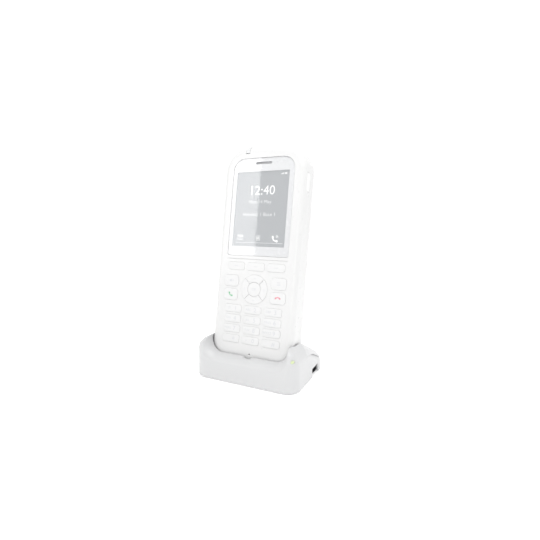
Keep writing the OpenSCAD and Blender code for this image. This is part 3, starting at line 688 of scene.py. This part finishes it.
def rear_recesses():
    """Cutters for the cover's seat, the loudspeaker's grille and the screw holes."""
    back = -BODY_D
    recesses = [prism("seat", cover_outline(-0.12), back - 2 * PAST, back + COVER_T + 0.1)]
    for i in range(-2, 3):
        length = GRILLE_L - GRILLE_TAPER * abs(i)
        slot = centred_rect(0, SPEAKER_Y + GRILLE_PITCH * i, length, GRILLE_H, GRILLE_R)
        recesses.append(prism("grille", slot, back - PAST, back + THROUGH))
    for x, y in BOSSES:
        outline = circle_outline(x, y, SCREW_HOLE_R, 24)(0)
        recesses.append(prism("screw_hole", outline, back - PAST, back + SCREW_HOLE_DEPTH))
    return recesses


def bay_cutter(top):
    """Cutter for the battery's bay, from behind the back up to a height."""
    return block(-BAY_X, BAY_Y[0], BAY_X, BAY_Y[1], -BODY_D - 2 * PAST, top)


def battery_tray():
    """Tray for the battery with the slot for its contacts, and the rim under the cover."""
    back = -BODY_D
    x, (low, high) = BAY_X + TRAY_WALL, (BAY_Y[0] - TRAY_WALL, BAY_Y[1] + TRAY_WALL)
    tray = block(-x, low, x, high, back + COVER_T + 0.05, BAY_Z + TRAY_FLOOR)
    tray = carved(tray, [bay_cutter(BAY_Z)])
    tray = carved(tray, [block(*CONTACT_SLOT, BAY_Z - PAST, BAY_Z + 2 * PAST)])
    x, (low, high) = COVER_X + RIM_W, (COVER_Y[0] - RIM_W, COVER_Y[1] + RIM_W)
    rim = block(-x, low, x, high, back + COVER_T + 0.1, back + COVER_T + 1.2)
    return [tray, carved(rim, [bay_cutter(BAY_CUT_Z)])]


def make_rear_casing():
    shell = carved(half_shell(BACK_ROUND, -BODY_D + BACK_ROUND["z"], -1), rear_recesses())
    shell = carved(shell, [bay_cutter(BAY_CUT_Z)])
    mesh = joined([shell, *battery_tray()])
    add_piece("casing_rear", mesh, HANDSET, "handset", WHITE,
              ["rear_casing"], weighted=True)


def back_z(x):
    """Height of the back's surface at x, where it starts to round into the sides."""
    inset = min(BODY_W / 2 - abs(x), BACK_ROUND["side"])
    turn = math.acos(1 - inset / BACK_ROUND["side"])
    return -BODY_D + BACK_ROUND["z"] * (1 - math.sin(turn))


def on_back(outline, above):
    """Ring that follows the back's surface at one height above it."""
    return [(x, y, back_z(x) + above) for x, y in outline]


def make_battery_cover():
    """Cover that follows the back, with finger ridges near its upper end."""
    chamfer = 0.12
    steps = [(COVER_T, 0.0), (chamfer, 0.0), (0.0, chamfer), (0.0, 1.25)]
    rings = [on_back(cover_outline(inset), above) for above, inset in steps]
    cutters = []
    for i in range(5):
        length = RIDGE_L - RIDGE_TAPER * abs(i - 1)
        ridge = (0, RIDGE_Y - RIDGE_PITCH * i, length, RIDGE_H, RIDGE_R)
        wide = centred_rect(*ridge, -chamfer, 5)
        narrow = centred_rect(*ridge, 0.0, 5)
        cutters.append(ring_mesh("ridge", [lift(wide, -BODY_D - PAST), lift(wide, -BODY_D),
                                           lift(narrow, -BODY_D + 0.4)]))
    cover = ring_mesh("cover", [ring[::-1] for ring in rings])
    add_piece("battery_cover_skin", carved(cover, cutters), HANDSET, "battery_cover",
              WHITE, ["battery_cover"], weighted=True)


# ---------------------------------------------------------------- display and lens


def earpiece_slit():
    slot = centred_rect(0, EARPIECE_Y, EARPIECE_W, EARPIECE_H, EARPIECE_R)
    return prism("slit", slot, -THROUGH, PAST)


def make_lens():
    """Clear plate with a fine chamfer, and the white print behind it round the display."""
    chamfer = 0.06
    steps = [(LENS_CLEAR_Z, 0.0), (-chamfer, 0.0), (0.0, chamfer)]
    plate = ring_mesh("lens", levels(lens_outline, steps))
    add_piece("lens_plate", carved(plate, [earpiece_slit()]), HANDSET, "handset", LENS,
              ["display_lens"])
    backing = prism("print", lens_outline(0.12), *PRINT_Z)
    window = centred_rect(SCREEN_X, SCREEN_Y, SCREEN_W, SCREEN_H, 0.5)
    opening = prism("opening", window, -THROUGH, PAST)
    add_piece("lens_print", carved(backing, [earpiece_slit(), opening]), HANDSET, "handset",
              PRINT)


# widths of the lines that the small drawings are made of
GLYPH_LINE, RECEIVER_LINE = 0.18, 0.42


def phone_glyph():
    """Telephone handset as a thick bow with a square end each side, about 2 mm across."""
    bow = stroke(arc(0, -0.55, 1.0, 25, 155, 14), RECEIVER_LINE)
    ends = [moved(stroke([(0, -0.32), (0, 0.32)], RECEIVER_LINE * 1.5), x, 0.0, 0, turn)
            for x, turn in ((-0.93, 25), (0.93, -25))]
    return joined([bow, *ends])


def envelope_glyph():
    edge = stroke([(-1, -0.7), (1, -0.7), (1, 0.7), (-1, 0.7)], GLYPH_LINE, closed=True)
    flap = stroke([(-0.95, 0.62), (0, -0.1), (0.95, 0.62)], GLYPH_LINE)
    return joined([edge, flap])


def book_glyph():
    cover = stroke([(-0.8, -1), (0.8, -1), (0.8, 1), (-0.8, 1)], GLYPH_LINE, closed=True)
    head = stroke(arc(0, 0.3, 0.28, 0, 330, 11), GLYPH_LINE, closed=True)
    shoulders = stroke(arc(0, -0.65, 0.45, 0, 180, 10), GLYPH_LINE)
    return joined([cover, head, shoulders])


def status_icons():
    """Signal bars and a small battery in the display's upper right corner."""
    icons = []
    for i in range(4):
        x, top = BARS_X + BAR_PITCH * i, BARS_Y + 0.4 + 0.25 * i
        icons.append(block(x, BARS_Y, x + BAR_W, top, 0, MARK_T))
    cell = stroke([(-1, -0.5), (1, -0.5), (1, 0.5), (-1, 0.5)], 0.15, closed=True)
    charge = block(-0.8, -0.3, 0.5, 0.3, 0, MARK_T)
    icons += [moved(mesh, CELL_X, CELL_Y) for mesh in (cell, charge)]
    return icons


def placed_words(text, size, x, y):
    return moved(words(text, size), x, y)


def make_display():
    """Black frame, the lit panel in it, and what the panel shows."""
    outline = rect_outline(0, SCREEN_Y, SCREEN_W + 1.5, SCREEN_H + 4.1, 0.6)
    steps = [(DISPLAY_BACK_Z, 0.0), (DISPLAY_Z - 0.1, 0.0), (DISPLAY_Z - 0.02, 0.1)]
    tray = ring_mesh("tray", levels(outline, steps))
    add_piece("display_frame", tray, HANDSET, "handset", BLACK, ["display_module"])
    panel = centred_rect(SCREEN_X, SCREEN_Y, SCREEN_W + 0.3, SCREEN_H + 0.8, 0.3)
    shown = prism("panel", panel, DISPLAY_Z - 0.1, DISPLAY_Z)
    add_piece("display_panel", shown, HANDSET, "handset", SCREEN)
    baseline = [(-BASELINE_W / 2, BASELINE_Y), (BASELINE_W / 2, BASELINE_Y)]
    marks = [
        placed_words(*CLOCK),
        moved(envelope_glyph(), *ENVELOPE_AT, scale=1.9),
        moved(book_glyph(), *BOOK_AT, scale=1.5),
        moved(phone_glyph(), *PHONE_AT, turn=138, scale=2.1),
        stroke(baseline, 0.14),
    ]
    for r in (1.0, 1.9):
        marks.append(moved(stroke(arc(0, 0, r, -35, 35, 6), 0.3), *WAVES_AT, turn=45))
    marks += status_icons()
    screen_marks = moved(joined(marks), 0, 0, DISPLAY_Z)
    add_piece("display_marks", screen_marks, HANDSET, "handset", SCREEN_MARK)
    lines = [placed_words(*line) for line in TEXT_LINES]
    screen_lines = moved(joined(lines), 0, 0, DISPLAY_Z)
    add_piece("display_lines", screen_lines, HANDSET, "handset", SCREEN_FAINT)


# ---------------------------------------------------------------- keys


def add_key(name, outline_at):
    """A key's cap, which rides on the body of the same name."""
    rings = levels(outline_at, softened(KEY_TOP, KEY_FOOT, KEY_EDGE))
    add_piece(name + "_cap", ring_mesh(name, rings), HANDSET, name, KEY_WHITE, [name],
              angle=50)


def add_legend(name, mesh, material):
    """A key's print, half sunk into its top."""
    legend = moved(mesh, 0, 0, KEY_TOP - MARK_T / 2)
    add_piece(name + "_legend", legend, HANDSET, name, material)


def make_number_keys():
    for i, name in enumerate(NUMBER_KEYS):
        x, y = number_place(i)
        add_key(name, KEY_OUTLINES[name])
        digit = {"key_star": "*", "key_0": "0", "key_hash": "#"}.get(name, name[-1])
        size, drop = (STAR_SIZE, STAR_DROP) if digit == "*" else (DIGIT_SIZE, 0.0)
        marks = [moved(words(digit, size), x + DIGIT_X, y - drop)]
        if name in LETTERS:
            marks.append(moved(words(LETTERS[name], LETTERS_SIZE), x + LETTERS_X, y))
        if name == "key_1":
            marks.append(moved(envelope_glyph(), x + LETTERS_X, y, scale=0.8))
        add_legend(name, joined(marks), LEGEND)


def speaker_glyph():
    horn = [(-1.2, -0.4), (-0.6, -0.4), (0, -0.95), (0, 0.95), (-0.6, 0.4), (-1.2, 0.4)]
    box = prism("horn", horn, 0, MARK_T)
    waves = [stroke(arc(0, 0, r, -38, 38, 8), 0.2) for r in (0.6, 1.1)]
    return joined([box, *waves])


def menu_glyph():
    half = 0.12
    return joined([block(-0.9, y - half, 0.9, y + half, 0, MARK_T) for y in (-0.65, 0.0, 0.65)])


def make_function_keys():
    glyphs = {
        "speaker_key": (speaker_glyph(), 0, 1.2, LEGEND),
        "menu_key": (menu_glyph(), 0, 1.3, LEGEND),
        "call_key": (phone_glyph(), 140, 1.5, LEGEND_GREEN),
        "end_key": (phone_glyph(), 0, 1.5, LEGEND_RED),
    }
    for i, name in enumerate(FUNCTION_KEYS):
        x, y = function_place(i)
        add_key(name, KEY_OUTLINES[name])
        glyph, turn, scale, look = glyphs[name]
        add_legend(name, moved(glyph, x, y, 0, turn, scale), look)
    for i, name in enumerate(SOFT_KEYS):
        add_key(name, KEY_OUTLINES[name])
        dash = moved(stroke([(-1.4, 0), (1.4, 0)], 0.3), *soft_key_place(i))
        add_legend(name, dash, LEGEND)


def quarter_outline(turn):
    """Outline of one quarter of the navigation ring, drawn in by an inset."""

    def outline(inset):
        g, outer, inner = NAV_GAP / 2 + inset, NAV_R - inset, NAV_INNER_R + inset
        a, b = (45 - math.degrees(math.asin(g / r)) for r in (outer, inner))
        far = arc(0, 0, outer, turn - a, turn + a, 16)
        near = arc(0, 0, inner, turn + b, turn - b, 16)
        return [(x, y + NAV_Y) for x, y in far + near]

    return outline


def make_nav_keys():
    for i, name in enumerate(NAV_KEYS):
        add_key(name, quarter_outline(90 * i))
        chevron = stroke([(-0.45, 0.7), (0.35, 0), (-0.45, -0.7)], 0.24)
        add_legend(name, moved(moved(chevron, CHEVRON_R, 0), 0, NAV_Y, turn=90 * i), LEGEND)
    add_key("nav_ok", circle_outline(0, NAV_Y, OK_R))
    add_legend("nav_ok", moved(words("OK", OK_SIZE), 0, NAV_Y), LEGEND)


# ---------------------------------------------------------------- side pieces


def make_volume_rocker():
    """Rocker with a plus and a minus moulded in just under its surface."""
    steps = softened(ROCKER_PROUD, -WALL, 0.4)
    outline = rect_outline(0, 0, ROCKER_H, ROCKER_L, SIDE_PIECE_R)
    across, upright, off_middle = [(-0.9, 0), (0.9, 0)], [(0, -0.9), (0, 0.9)], 9
    marks = [moved(stroke(points, 0.35), 0, y, ROCKER_PROUD - 2 * MARK_T)
             for points, y in ((across, off_middle), (upright, off_middle), (across, -off_middle))]
    matrix = HANDSET @ side_matrix(-1, ROCKER_Y)
    add_piece("volume_key_cap", ring_mesh("rocker", levels(outline, steps)), matrix,
              "volume_rocker", KEY_WHITE, ["volume_rocker"], angle=50)
    add_piece("volume_key_legend", joined(marks), matrix, "volume_rocker", LEGEND)


def make_jack_flap():
    """Rubber flap with a nick for a fingernail at its foot, and the plug behind it."""
    outline = rect_outline(0, 0, JACK_COVER_H, JACK_COVER_L, SIDE_PIECE_R)
    flap = ring_mesh("flap", levels(outline, softened(0.0, -JACK_COVER_T, 0.25)))
    plug_steps = [(-1.85, 0.15), (-1.7, 0), (-0.85, 0)]
    plug = ring_mesh("plug", levels(circle_outline(0, 0, JACK_PLUG_R, 24), plug_steps))
    foot = -JACK_COVER_L / 2
    nick = block(-1.2, foot + 0.5, 1.2, foot + 1.0, -0.25, 0.5)
    add_piece("jack_flap", joined([carved(flap, [nick]), plug]), HANDSET @ side_matrix(1, JACK_Y),
              "jack_cover", PALE_RUBBER, ["jack_cover"], angle=50)


# ---------------------------------------------------------------- charger shell

SHELL_VOXEL = 0.34 * MM
# the line down each side is an arc, with depth from the charger's front and height from the desk
LINE_CENTRE, LINE_R = (9 * MM, -73.6 * MM), 92.3 * MM
# the hollow under it: how deep, how far back it starts, is deepest, starts to fade and has gone
SCOOP_DEPTH = 0.9 * MM
SCOOP_RISE, SCOOP_FADE = (9 * MM, 38 * MM), (44 * MM, 53 * MM)
SCOOP_FOOT = 1.0 * MM
SIDE_WALL_X = 34 * MM


def smoothstep(low, high, value):
    t = min(max((value - low) / (high - low), 0.0), 1.0)
    return t * t * (3 - 2 * t)


def scooped(mesh):
    """Sinks each side below its falling line, deepest under the line and three quarters back."""
    for vertex in mesh.vertices:
        x, y, z = vertex.co.x, vertex.co.y - CHARGER_FRONT, vertex.co.z
        if abs(x) < SIDE_WALL_X:
            continue
        line_z = LINE_CENTRE[1] + math.sqrt(LINE_R**2 - (y - LINE_CENTRE[0]) ** 2)
        if z < line_z:
            along = smoothstep(*SCOOP_RISE, y) * (1 - smoothstep(*SCOOP_FADE, y))
            down = smoothstep(SCOOP_FOOT, line_z, z)
            vertex.co.x -= math.copysign(SCOOP_DEPTH * along * down, x)
    return mesh


def make_charger_shell():
    """The CAD shell remeshed and relaxed, so that its edges are soft like a moulding's."""
    source = bpy.data.objects.new("shell_source", NODES["cradle_shell"].data.copy())
    bpy.context.scene.collection.objects.link(source)
    remesh = source.modifiers.new("remesh", "REMESH")
    remesh.mode = "VOXEL"
    remesh.voxel_size = SHELL_VOXEL
    relax = source.modifiers.new("relax", "SMOOTH")
    relax.factor = 0.5
    relax.iterations = 8
    graph = bpy.context.evaluated_depsgraph_get()
    mesh = bpy.data.meshes.new_from_object(source.evaluated_get(graph))
    bpy.data.objects.remove(source)
    add_piece("charger_shell", scooped(mesh), Matrix.Identity(4), "cradle",
              CHARGER, ["cradle_shell"], angle=180)


# ---------------------------------------------------------------- camera, lights, floor


CAMERA_PLACE = (0.11084, -0.2193, 0.09914)
CAMERA_YAW, CAMERA_PITCH, CAMERA_ROLL = (math.radians(a) for a in (25.55, 6.83, 0.65))
CAMERA_LENS, CAMERA_SENSOR = 24.893, 36.0

# soft box seen in the lens: how far off it is, its size, and the x on the display where it ends
WINDOW_DISTANCE, WINDOW_SIZE, WINDOW_EDGE_X = 0.62, (0.085, 0.3), -1.8
WINDOW_RADIANCE = 2.9
OBJECT_MIDDLE = Vector((0, 0, 0.03))
# the surround is brightest in this direction, and dims away from it
WORLD_BRIGHT_SIDE = (-0.4, 0.58, 0.72)
WORLD_SPREAD = {"From Min": -0.8, "From Max": 0.3, "To Min": 0.62, "To Max": 1.1}
FLOOR_REACH, FLOOR_TONE, FLOOR_GLOW = 4.0, 0.9, 0.3


def make_camera():
    """Camera in front and to the right, looking slightly down, with a slight roll."""
    data = bpy.data.cameras.new("camera")
    data.sensor_width = CAMERA_SENSOR
    data.lens = CAMERA_LENS
    data.clip_start = 0.01
    camera = bpy.data.objects.new("camera", data)
    camera.matrix_world = (
        Matrix.Translation(CAMERA_PLACE)
        @ Matrix.Rotation(CAMERA_YAW, 4, "Z")
        @ Matrix.Rotation(math.pi / 2 - CAMERA_PITCH, 4, "X")
        @ Matrix.Rotation(CAMERA_ROLL, 4, "Z")
    )
    bpy.context.scene.collection.objects.link(camera)
    bpy.context.scene.camera = camera
    return camera


def add_panel(name, centre, target, up, size, radiance):
    """Rectangular soft light that faces its target, with its height turned towards up."""
    data = bpy.data.lights.new(name, "AREA")
    data.shape = "RECTANGLE"
    data.size, data.size_y = size
    data.energy = radiance * math.pi * size[0] * size[1]
    light = bpy.data.objects.new(name, data)
    back = (centre - target).normalized()
    side = up.cross(back).normalized()
    turn = Matrix((side, back.cross(side), back)).transposed().to_4x4()
    light.matrix_world = Matrix.Translation(centre) @ turn
    light.visible_camera = False
    bpy.context.scene.collection.objects.link(light)


def add_window_light(camera):
    """Soft box whose mirror image covers the display's left, up to a line along the handset."""
    on_face = HANDSET @ Vector((WINDOW_EDGE_X, SCREEN_Y, 0))
    eye = camera.matrix_world.translation
    mirrored = eye - 2 * (eye - on_face).dot(FACE_OUT) * FACE_OUT
    ray = (on_face - mirrored).normalized()
    edge = on_face + ray * WINDOW_DISTANCE
    side = ray.cross(ALONG).normalized()
    if side.x > 0:
        side = -side
    centre = edge + side * WINDOW_SIZE[0] / 2
    add_panel("window_light", centre, centre - ray, ALONG, WINDOW_SIZE, WINDOW_RADIANCE)


def make_world():
    """White surround, dimmer below, in front and to the right, so that the object's sides shade."""
    world = bpy.data.worlds.new("studio")
    bpy.context.scene.world = world
    world.use_nodes = True
    tree = world.node_tree
    link = tree.links.new
    coords = tree.nodes.new("ShaderNodeTexCoord")
    facing = tree.nodes.new("ShaderNodeVectorMath")
    facing.operation = "DOT_PRODUCT"
    facing.inputs[1].default_value = WORLD_BRIGHT_SIDE
    spread = tree.nodes.new("ShaderNodeMapRange")
    for end, value in WORLD_SPREAD.items():
        spread.inputs[end].default_value = value
    link(coords.outputs["Generated"], facing.inputs[0])
    link(facing.outputs["Value"], spread.inputs["Value"])
    link(spread.outputs["Result"], tree.nodes["Background"].inputs["Strength"])
    tree.nodes["Background"].inputs["Color"].default_value = (1, 1, 1, 1)


def make_floor():
    """Pale paper that glows a little, so that it blends into the surround."""
    mesh = bpy.data.meshes.new("floor")
    r = FLOOR_REACH
    mesh.from_pydata([(-r, -r, 0), (r, -r, 0), (r, r, 0), (-r, r, 0)], [], [(0, 1, 2, 3)])
    mat, shader = new_material("floor_paper")
    shader.inputs["Base Color"].default_value = (FLOOR_TONE, FLOOR_TONE, FLOOR_TONE, 1)
    shader.inputs["Roughness"].default_value = 0.85
    shader.inputs["Emission Color"].default_value = (1, 1, 1, 1)
    shader.inputs["Emission Strength"].default_value = FLOOR_GLOW
    mesh.materials.append(mat)
    floor = bpy.data.objects.new("floor", mesh)
    bpy.context.scene.collection.objects.link(floor)


def make_studio(camera):
    """White room with a soft light from the front right, one from above and the window light."""
    bpy.context.scene.view_settings.view_transform = "Standard"
    make_world()
    make_floor()
    add_window_light(camera)
    add_panel("key_light", Vector((0.13, -0.24, 0.12)), OBJECT_MIDDLE, Vector((0, 0, 1)),
              (0.1, 0.1), 1.4)
    add_panel("top_light", Vector((0.12, -0.12, 0.48)), OBJECT_MIDDLE, Vector((0, 1, 0)),
              (0.25, 0.25), 4.4)


camera = make_camera()
make_studio(camera)
dress_cad_nodes()
make_front_casing()
make_rear_casing()
make_battery_cover()
make_lens()
make_display()
make_number_keys()
make_function_keys()
make_nav_keys()
make_volume_rocker()
make_jack_flap()
make_charger_shell()
